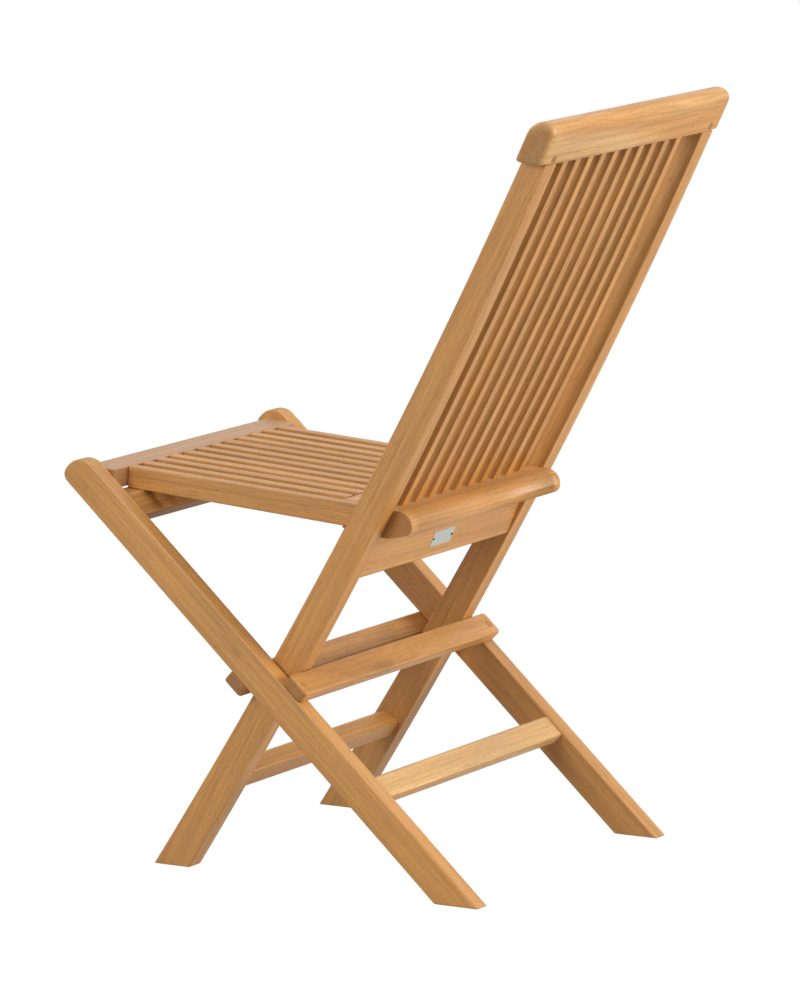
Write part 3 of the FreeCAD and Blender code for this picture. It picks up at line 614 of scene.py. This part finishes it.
class TEAKCHAIR_OT_finishes(bpy.types.Operator):
    """Make the teak and metal finishes"""

    bl_idname = "teak_chair.finishes"
    bl_label = "Finishes"

    def execute(self, context):
        make_knot_group()
        make_grain_group()
        make_scuff_group()
        up_stile = stile_directions(sizes().stile_length / 2.0)[0]
        up_leg, out_leg = leg_directions()
        fore, out_seat = seat_directions()
        top_out = stile_directions(sizes().stile_length)[1]
        pinkish, pale = finish().board_wood, finish().pale_wood
        teak_material("Teak stile", up_stile, ACROSS, (0.0, 0.0, 0.0), (0.0, 0.05, 0.09), spacing=0.0052)
        teak_material("Teak leg", up_leg, ACROSS, (0.03, 0.0, 0.0), (0.0, 0.30, -0.12), spacing=0.0056,
                      wander=0.018, knots=[((0.235, -0.089, 0.2737), 0.006, 0.5, 0.35)])
        teak_material("Teak top rail", ACROSS, -top_out, (0.1, 0.33, 0.9), (0.0, -0.05, -0.035),
                      spacing=0.0058, wander=0.02, lines=0.6, tone=0.03, light=pale,
                      knots=[((0.105, 0.332, 0.919), 0.008, 0.5, 0.3)])
        # Tone 0.05 is painted light: the back slats are lightened all over to stand in for brighter light
        # on their rear faces.
        teak_material("Teak back slat", up_stile, ACROSS, (0.0, 0.02, 0.0), (0.0, 0.05, 0.02),
                      spacing=0.004, tone=0.05, steps=(slat_pitch("back_slat"), 0.11),
                      knots=[((0.1248, 0.2337, 0.7329), 0.0045, 0.6, 0.6),
                             ((0.1206, 0.2011, 0.6683), 0.0045, 0.6, 0.6)])
        teak_material("Teak nosing", ACROSS, UPWARD, (0.3, 0.1, 0.45), (0.0, 0.03, -0.07),
                      spacing=0.0055, tone=-0.02)
        teak_material("Teak apron", ACROSS, -top_out, (0.5, 0.1, 0.4), (0.0, -0.05, 0.05))
        teak_material("Teak stretcher", ACROSS, out_leg, (0.7, 0.0, 0.1), (0.0, 0.04, -0.05))
        teak_material("Pale stretcher", ACROSS, out_leg, (0.2, 0.0, 0.3), (0.0, 0.04, -0.05), spacing=0.006,
                      lines=0.3, light=pale, warm=pale)
        teak_material("Teak stop bar", ACROSS, out_leg, (0.9, 0.0, 0.23), (0.0, 0.02, -0.06),
                      wander=0.02, knots=[((0.050, 0.004, 0.236), 0.018, 0.45, 0.4)])
        # A darker copy of the stop bar finish: painted shade for the bars that lie in the shade under the
        # seat.
        teak_material("Dark stop bar", ACROSS, out_leg, (0.4, 0.0, 0.23), (0.0, 0.03, -0.05),
                      lines=0.7, tone=-0.13)
        teak_material("Teak seat slat", fore, out_seat, (0.0, 0.0, 0.45), (0.0, 0.05, 0.03),
                      spacing=0.004, steps=(slat_pitch("seat_slat"), 0.09))
        teak_material("Teak seat rail", fore, ACROSS, (0.0, 0.0, 0.45), (0.0, 0.03, -0.03),
                      spacing=0.0055, wander=0.03, split=(0.006, 0.09))
        teak_material("Teak seat board", ACROSS, out_seat, (0.2, -0.2, 0.47), (0.0, 0.05, -0.05),
                      spacing=0.0055, lines=0.25, light=pinkish, warm=pinkish)
        teak_material("Teak plug", REARWARD, ACROSS, (0.0, 0.0, 0.0), (0.0, 0.02, 0.0),
                      spacing=0.002, lines=0.6, tone=-0.05)
        metal_material("Brass pin", finish().brass, 0.32, 0.6)
        metal_material("Bare plate", finish().plate, 0.34, 0.35)
        metal_material("Nail head", finish().nail, 0.5, 0.5)
        return {"FINISHED"}


# Back frame


class TEAKCHAIR_OT_back_stiles(bpy.types.Operator):
    """Make the two bent and tapered back stiles"""

    bl_idname = "teak_chair.back_stiles"
    bl_label = "Back stiles"

    def execute(self, context):
        s = sizes()
        inner, outer = x_span("back_stile_left")
        spare = 12.0 * MM    # sawn off under the top rail
        for side, sign in SIDES:
            x0, x1 = sorted((sign * inner, sign * outer))
            stations = (-s.stile_foot_depth, s.stile_length + spare)
            mesh = bent_strip(x0, x1, stations, (0.0, s.stile_foot_depth), steps=30)
            for vertex in mesh.verts:
                station, inset = on_stile(vertex.co)
                if inset > s.stile_foot_depth / 2.0:
                    vertex.co -= stile_directions(station)[1] * (s.stile_taper * station)
            sawn_off(mesh, Vector(), -UPWARD)
            sawn_off(mesh, stile_point(s.stile_length, 0.0), rail_underside())
            eased(mesh, s.stile_round)
            placed(mesh, "stile_" + side, "back_frame", "Teak stile", "back_stile_" + side)
        return {"FINISHED"}


def rail_underside():
    """Square out of the underside of the top rail, pointing up."""
    up, forward = stile_directions(sizes().stile_length)
    return (up + forward * RAIL_FALL).normalized()


class TEAKCHAIR_OT_top_rail(bpy.types.Operator):
    """Make the crowned top rail"""

    bl_idname = "teak_chair.top_rail"
    bl_label = "Top rail"

    def execute(self, context):
        s = sizes()
        up, forward = stile_directions(s.stile_length)
        base = stile_point(s.stile_length, 0.0)
        high = reach("top_rail", up)[1] - up.dot(base)
        thick = reach("top_rail", forward)[1] - forward.dot(base)
        tilt = math.tan(s.crown_slope) * thick / 2.0
        middle = high - s.crown_drop
        x0, x1 = x_span("top_rail")
        corners = [(0.0, 0.0), (-RAIL_FALL * thick, thick), (middle - tilt, thick), (middle + tilt, 0.0)]
        spots = [base + up * u + forward * f for u, f in corners]
        mesh = cut_board(spots, x0, x1)
        round_at(mesh, spots[2], s.crown_front_round, segments=12)
        round_at(mesh, spots[3], s.crown_rear_round, segments=12)
        fall = rail_underside()
        lowest = max(mesh.faces, key=lambda face: -fall.dot(face.normal))
        ends = [e for e in end_edges(mesh, x0) + end_edges(mesh, x1) if e not in lowest.edges[:]]
        rounded(mesh, ends, s.rail_end_round, segments=10)
        lowest = max(mesh.faces, key=lambda face: -fall.dot(face.normal) * face.calc_area())
        rear_edge = edges_near(mesh, spots[0])
        rounded(mesh, [e for e in lowest.edges if e not in rear_edge], s.rail_low_round, segments=5)
        placed(mesh, "crowned_rail", "back_frame", "Teak top rail", "top_rail")
        return {"FINISHED"}


class TEAKCHAIR_OT_back_slats(bpy.types.Operator):
    """Make the row of back slats"""

    bl_idname = "teak_chair.back_slats"
    bl_label = "Back slats"

    def execute(self, context):
        for number, name in row_of("back_slat_"):
            mesh = bent_strip(*x_span(name), *bent_reach(name), steps=14)
            eased(mesh, sizes().slat_round, segments=3)
            placed(mesh, "back_lath_%02d" % number, "back_frame", "Teak back slat", name)
        return {"FINISHED"}


class TEAKCHAIR_OT_nosing_board(bpy.types.Operator):
    """Make the nosing board at the rear of the seat, notched for the seat rails"""

    bl_idname = "teak_chair.nosing_board"
    bl_label = "Nosing board"

    def execute(self, context):
        s = sizes()
        fore, up = seat_directions()
        inner = x_span("back_stile_left")[0]
        notch_x = x_span("seat_side_rail_left")[0] - s.notch_gap
        notch_y = min(place.y for place in corners_of("nosing_board") if place.x > notch_x + s.notch_gap)
        top = reach("seat_slat_01", up)[1]
        front = reach("nosing_board", fore)[1]
        rear_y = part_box("nosing_board")[1].y
        flat_y = rear_y - s.nosing_reach
        thick = s.nosing_thickness

        def under_top(y, drop):
            return fore * ((y - up.y * top) / fore.y) + up * top - UPWARD * drop

        lip = under_top(flat_y, LIP_DROP * thick)
        lip.y = rear_y
        spots = [fore * front + up * top, under_top(rear_y, 0.0), lip,
                 under_top(flat_y - LIP_SLANT * thick, thick), fore * front + up * (top - thick)]
        mesh = cut_board(spots, -notch_x, notch_x)
        round_at(mesh, spots[1], s.nosing_upper_round, segments=10)
        round_at(mesh, spots[2], s.nosing_lower_round, segments=6)
        bmesh.ops.bisect_plane(mesh, geom=whole(mesh), plane_co=(0.0, notch_y, 0.0), plane_no=REARWARD,
                               dist=CUT_SLACK)
        for _, sign in SIDES:
            middles = [(face, face.calc_center_median()) for face in mesh.faces]
            ends = [face for face, middle in middles
                    if middle.y > notch_y and sign * middle.x > notch_x - HAIR]
            drawn_out(mesh, ends, ACROSS * sign * (inner - notch_x))
        eased(mesh, NOSING_EASE, segments=2)
        placed(mesh, "rear_nosing", "back_frame", "Teak nosing", "nosing_board")
        return {"FINISHED"}


class TEAKCHAIR_OT_apron(bpy.types.Operator):
    """Make the apron rail with its bare plate and two nails"""

    bl_idname = "teak_chair.apron"
    bl_label = "Apron and plate"

    def execute(self, context):
        s = sizes()
        up = seat_directions()[1]
        inner = x_span("back_stile_left")[0]
        low = bent_reach("apron_rail")[0][0]
        beyond = 1.4    # drawn past its height, then sawn off under the nosing board
        high = low + beyond * s.apron_height
        low_inset, thick = s.apron_low_inset, s.apron_thickness
        high_inset = low_inset + beyond * (s.apron_high_inset - low_inset)
        spots = [stile_point(low, low_inset), stile_point(high, high_inset),
                 stile_point(high, high_inset + thick), stile_point(low, low_inset + thick)]
        mesh = cut_board(spots, -inner, inner)
        under = reach("seat_slat_01", up)[1] - s.nosing_thickness
        sawn_off(mesh, up * under, up)
        rounded(mesh, edges_near(mesh, spots[0]) + edges_near(mesh, spots[3]), s.bar_round)
        placed(mesh, "apron", "back_frame", "Teak apron", "apron_rail")
        self.add_plate(spots[0], (spots[1] - spots[0]).normalized())
        return {"FINISHED"}

    def add_plate(self, corner, rise):
        """The bare plate, laid on the rear face of the apron, and a nail at each end."""
        s = sizes()
        out = rise.cross(ACROSS)
        middle = corner + rise * s.plate_rise + ACROSS * s.plate_offset
        axes = Matrix((ACROSS, rise, out)).transposed()
        mesh = bmesh.new()
        bmesh.ops.create_cube(mesh, size=1.0)
        bmesh.ops.scale(mesh, verts=mesh.verts, vec=(s.plate_width, s.plate_height, s.plate_thickness))
        half = 0.5 * s.plate_thickness
        upright = [e for e in mesh.edges if abs(e.verts[0].co.z - e.verts[1].co.z) > half]
        rounded(mesh, upright, PLATE_CORNER)
        eased(mesh, PLATE_EASE, segments=2)
        lay(mesh, axes, middle + out * half)
        placed(mesh, "bare_plate", "back_frame", "Bare plate")
        heads = bmesh.new()
        flatness = 0.45
        for sign in (-1.0, 1.0):
            head = bmesh.ops.create_uvsphere(heads, u_segments=20, v_segments=10, radius=s.nail_radius)
            bmesh.ops.scale(heads, verts=head["verts"], vec=(1.0, 1.0, flatness))
            spot = Vector((sign * s.nail_spread / 2.0, 0.0, s.plate_thickness))
            bmesh.ops.translate(heads, verts=head["verts"], vec=spot)
        lay(heads, axes, middle)
        placed(heads, "plate_nails", "back_frame", "Nail head")


def lay(mesh, axes, place):
    """Turns a mesh made at the origin onto three directions and carries it to its place."""
    bmesh.ops.transform(mesh, verts=mesh.verts, matrix=Matrix.Translation(place) @ axes.to_4x4())


class TEAKCHAIR_OT_front_stretcher(bpy.types.Operator):
    """Make the low stretcher between the stiles"""

    bl_idname = "teak_chair.front_stretcher"
    bl_label = "Front stretcher"

    def execute(self, context):
        inner = x_span("back_stile_left")[0]
        mesh = bent_strip(-inner, inner, *bent_reach("front_stretcher"), steps=2)
        rounded(mesh, long_edges(mesh), sizes().bar_round)
        placed(mesh, "stile_stretcher", "back_frame", "Teak stretcher", "front_stretcher")
        return {"FINISHED"}


# Leg frame


class TEAKCHAIR_OT_rear_legs(bpy.types.Operator):
    """Make the two straight legs with their rounded front ends"""

    bl_idname = "teak_chair.rear_legs"
    bl_label = "Legs"

    def execute(self, context):
        s = sizes()
        up, behind = leg_directions()
        foot = Vector((0.0, leg_heel, 0.0))
        for side, _ in SIDES:
            node = "rear_leg_" + side
            end = reach(node, up)[1] - up.dot(foot)
            front = reach(node, behind)[0] - behind.dot(foot)
            start = -2.0 * abs(front)    # sawn off at the floor
            spots = [foot + up * a + behind * b
                     for a, b in ((start, 0.0), (end, 0.0), (end, front), (start, front))]
            mesh = cut_board(spots, *x_span(node))
            round_at(mesh, spots[1], s.leg_tip_upper_round, segments=12)
            round_at(mesh, spots[2], s.leg_tip_lower_round, segments=8)
            sawn_off(mesh, Vector(), -UPWARD)
            eased(mesh, s.leg_round)
            placed(mesh, "leg_" + side, "leg_frame", "Teak leg", node)
        return {"FINISHED"}


class TEAKCHAIR_OT_leg_bars(bpy.types.Operator):
    """Make the crossbar under the seat and the low stretcher between the legs"""

    bl_idname = "teak_chair.leg_bars"
    bl_label = "Leg bars"

    def execute(self, context):
        inner = x_span("rear_leg_left")[0]
        seat_up = seat_directions()[1]
        top = max(corners_of("leg_crossbar"), key=lambda place: place.dot(seat_up))
        # The crossbar under the seat takes the stop bar finish with painted shade.
        for node, name, finish_name in (("leg_crossbar", "seat_crossbar", "Dark stop bar"),
                                        ("rear_stretcher", "leg_stretcher", "Pale stretcher")):
            mesh = cad_bar(node, leg_directions(), -inner, inner)
            if node == "leg_crossbar":
                sawn_off(mesh, top, seat_up)
            rounded(mesh, long_edges(mesh), sizes().bar_round)
            placed(mesh, name, "leg_frame", finish_name, node)
        return {"FINISHED"}


class TEAKCHAIR_OT_stop_bars(bpy.types.Operator):
    """Make the two bars that hold the chair open, with rounded ends"""

    bl_idname = "teak_chair.stop_bars"
    bl_label = "Stop bars"

    def execute(self, context):
        behind = leg_directions()[1]
        nearly_along = 0.9    # least cosine between a bar's end corners and the way out of the legs
        for node, name, finish_name in (("rear_stop_bar", "open_stop_rear", "Teak stop bar"),
                                        # The front bar, under the seat, takes the stop bar finish with
                                        # painted shade.
                                        ("front_stop_bar", "open_stop_front", "Dark stop bar")):
            mesh = cad_bar(node, leg_directions(), *x_span(node))
            if node == "rear_stop_bar":
                self.lean_top(mesh, node)
            ways = [(edge, (edge.verts[0].co - edge.verts[1].co).normalized()) for edge in mesh.edges]
            corners = [edge for edge, way in ways if abs(way.dot(behind)) > nearly_along]
            rounded(mesh, corners, sizes().bar_end_round, segments=6)
            eased(mesh, sizes().bar_round)
            placed(mesh, name, "leg_frame", finish_name, node)
        return {"FINISHED"}

    def lean_top(self, mesh, node):
        """Slopes the top of the rear bar to lie against the rear faces of the stiles."""
        up, behind = leg_directions()
        face = reach(node, behind)[0]
        corners = corners_of(node)
        near_face = face + 0.5 * MM
        edge = max(up.dot(corner) for corner in corners if behind.dot(corner) < near_face)
        stile_up = stile_directions(on_stile(corners[0])[0])[0]
        climb = stile_up.dot(up) / stile_up.dot(behind)
        middle = sum(reach(node, up)) / 2.0
        for vertex in mesh.verts:
            if up.dot(vertex.co) > middle:
                target = edge + climb * (behind.dot(vertex.co) - face)
                vertex.co += up * (target - up.dot(vertex.co))


# Seat


class TEAKCHAIR_OT_seat_board(bpy.types.Operator):
    """Make the wide board at the front of the seat"""

    bl_idname = "teak_chair.seat_board"
    bl_label = "Seat board"

    def execute(self, context):
        node = "seat_front_board"
        fore = seat_directions()[0]
        mesh = cad_bar(node, seat_directions(), *x_span(node))
        nearly_front = reach(node, fore)[1] - 0.1 * MM
        fronts = [edge for edge in long_edges(mesh) if edge.verts[0].co.dot(fore) > nearly_front]
        rounded(mesh, fronts, sizes().board_round, segments=5)
        eased(mesh, BOARD_EASE, segments=3)
        placed(mesh, "front_board", "seat", "Teak seat board", node)
        return {"FINISHED"}


class TEAKCHAIR_OT_seat_rails(bpy.types.Operator):
    """Make the two seat rails, their rear ends round about the seat pivot, and the rear rail"""

    bl_idname = "teak_chair.seat_rails"
    bl_label = "Seat rails"

    def execute(self, context):
        fore, up = seat_directions()
        low_pin, high_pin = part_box("seat_pivot_pin_left")
        pivot = (low_pin + high_pin) / 2.0
        pivot.x = 0.0
        top = reach("seat_side_rail_left", up)[1] - up.dot(pivot)
        deep = reach("seat_side_rail_left", up)[0] - up.dot(pivot)
        front = reach("seat_front_board", fore)[0] - fore.dot(pivot)
        eye_front, front_rise, eye_round = 3.0 * top, 2.5 * MM, 0.96 * top
        outline = ((front, top), (-top, top), (-top, -top), (eye_front, deep), (front, deep + front_rise))
        spots = [pivot + fore * u + up * v for u, v in outline]
        for side, _ in SIDES:
            node = "seat_side_rail_" + side
            mesh = cut_board(spots, *x_span(node))
            round_at(mesh, spots[1], eye_round, segments=8)
            round_at(mesh, spots[2], eye_round, segments=8)
            eased(mesh, sizes().rail_edge_round, segments=3)
            placed(mesh, "seat_rail_" + side, "seat", "Teak seat rail", node)
        inner = x_span("seat_side_rail_left")[0]
        rail = cad_bar("seat_rear_rail", seat_directions(), -inner, inner)
        rounded(rail, long_edges(rail), SLAT_RAIL_EASE, segments=2)
        placed(rail, "slat_rail", "seat", "Teak stretcher", "seat_rear_rail")
        return {"FINISHED"}


class TEAKCHAIR_OT_seat_slats(bpy.types.Operator):
    """Make the row of seat slats"""

    bl_idname = "teak_chair.seat_slats"
    bl_label = "Seat slats"

    def execute(self, context):
        fore, up = seat_directions()
        board = reach("seat_front_board", fore)[0]
        for number, name in row_of("seat_slat_"):
            mesh = square_bar(fore, up, ((reach(name, fore)[0], board), reach(name, up)), *x_span(name))
            eased(mesh, sizes().slat_round, segments=3)
            placed(mesh, "seat_lath_%02d" % number, "seat", "Teak seat slat", name)
        return {"FINISHED"}


class TEAKCHAIR_OT_fittings(bpy.types.Operator):
    """Finish the pins, washers and plugs, which keep their CAD mesh"""

    bl_idname = "teak_chair.fittings"
    bl_label = "Fittings"

    def execute(self, context):
        for name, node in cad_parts.items():
            if node.hide_render:
                continue
            wooden = "plug" in name or "peg" in name
            node.data.materials.clear()
            node.data.materials.append(bpy.data.materials["Teak plug" if wooden else "Brass pin"])
        return {"FINISHED"}


# Stage


class TEAKCHAIR_OT_stage(bpy.types.Operator):
    """Make the white floor, the soft light and the camera"""

    bl_idname = "teak_chair.stage"
    bl_label = "Stage"

    def execute(self, context):
        context.scene.view_settings.view_transform = "Standard"
        self.add_floor()
        self.add_world(context.scene)
        for name, place, size, power in LAMPS:
            lamp = bpy.data.lights.new(name, "AREA")
            lamp.size, lamp.energy = size, power
            self.aimed(lamp, place, LAMP_AIM)
        lens = bpy.data.cameras.new("Catalogue view")
        lens.sensor_width, lens.lens, lens.clip_end = CAMERA_SENSOR, CAMERA_LENS, CAMERA_REACH
        context.scene.camera = self.aimed(lens, CAMERA_PLACE, CAMERA_AIM)
        return {"FINISHED"}

    def aimed(self, data, place, aim):
        """Stands a lamp or the camera at a place, looking at another."""
        holder = linked(data.name, data)
        holder.location = place
        holder.rotation_euler = (aim - Vector(place)).to_track_quat("-Z", "Y").to_euler()
        return holder

    def add_floor(self):
        self.make_floor_material()
        mesh = bmesh.new()
        bmesh.ops.create_grid(mesh, x_segments=2, y_segments=2, size=30.0)
        linked("Floor", mesh_data(mesh, "Floor", "Floor white"))

    def seen(self, w, in_reflections):
        """1 for the camera, less in reflections and 0 for light that bounces."""
        rays = w.node("ShaderNodeLightPath")
        return w.maths("MAXIMUM", rays["Is Camera Ray"], w.times(rays["Is Glossy Ray"], in_reflections))

    def make_floor_material(self):
        """White to the camera and in reflections, with a faint shadow kept."""
        w = new_material("Floor white")[0]
        w.tree.nodes.clear()
        brightness, in_reflections, whiteness = 1.03, 0.6, 0.97
        white = w.node("ShaderNodeEmission", {"Color": finish().floor, "Strength": brightness})[0]
        paper = w.node("ShaderNodeBsdfDiffuse", {"Color": finish().bounce})[0]
        share = w.times(self.seen(w, in_reflections), whiteness)
        either = w.node("ShaderNodeMixShader", (share, paper, white))[0]
        w.node("ShaderNodeOutputMaterial", {"Surface": either})

    def add_world(self, scene):
        world = bpy.data.worlds.new("Soft room")
        scene.world = world
        world.use_nodes = True
        w = Wiring(world.node_tree)
        in_reflections, fill_light = 0.9, 0.32
        strength = w.band(self.seen(w, in_reflections), 0.0, 1.0, fill_light, 1.0)
        w.fill(w.tree.nodes["Background"], {"Color": (1.0, 1.0, 1.0, 1.0), "Strength": strength})


STEPS = (
    TEAKCHAIR_OT_finishes, TEAKCHAIR_OT_back_stiles, TEAKCHAIR_OT_top_rail, TEAKCHAIR_OT_back_slats,
    TEAKCHAIR_OT_nosing_board, TEAKCHAIR_OT_apron, TEAKCHAIR_OT_front_stretcher,
    TEAKCHAIR_OT_rear_legs, TEAKCHAIR_OT_leg_bars, TEAKCHAIR_OT_stop_bars, TEAKCHAIR_OT_seat_board,
    TEAKCHAIR_OT_seat_rails, TEAKCHAIR_OT_seat_slats, TEAKCHAIR_OT_fittings, TEAKCHAIR_OT_stage,
)


class TEAKCHAIR_PT_steps(bpy.types.Panel):
    """Lists the steps that build the chair"""

    bl_idname = "TEAKCHAIR_PT_steps"
    bl_label = "Teak chair"
    bl_space_type = "VIEW_3D"
    bl_region_type = "UI"
    bl_category = "Teak chair"

    def draw(self, context):
        for step in STEPS:
            self.layout.operator(step.bl_idname)


CLASSES = (TeakChairSizes, TeakChairFinish) + STEPS + (TEAKCHAIR_PT_steps,)


def register():
    for item in CLASSES:
        bpy.utils.register_class(item)
    bpy.types.Scene.teak_chair_sizes = bpy.props.PointerProperty(type=TeakChairSizes)
    bpy.types.Scene.teak_chair_finish = bpy.props.PointerProperty(type=TeakChairFinish)


def unregister():
    del bpy.types.Scene.teak_chair_finish
    del bpy.types.Scene.teak_chair_sizes
    for item in reversed(CLASSES):
        bpy.utils.unregister_class(item)


def main():
    register()
    steps = bpy.ops.teak_chair
    steps.finishes()
    steps.back_stiles()
    steps.top_rail()
    steps.back_slats()
    steps.nosing_board()
    steps.apron()
    steps.front_stretcher()
    steps.rear_legs()
    steps.leg_bars()
    steps.stop_bars()
    steps.seat_board()
    steps.seat_rails()
    steps.seat_slats()
    steps.fittings()
    steps.stage()


if __name__ == "__main__":
    main()
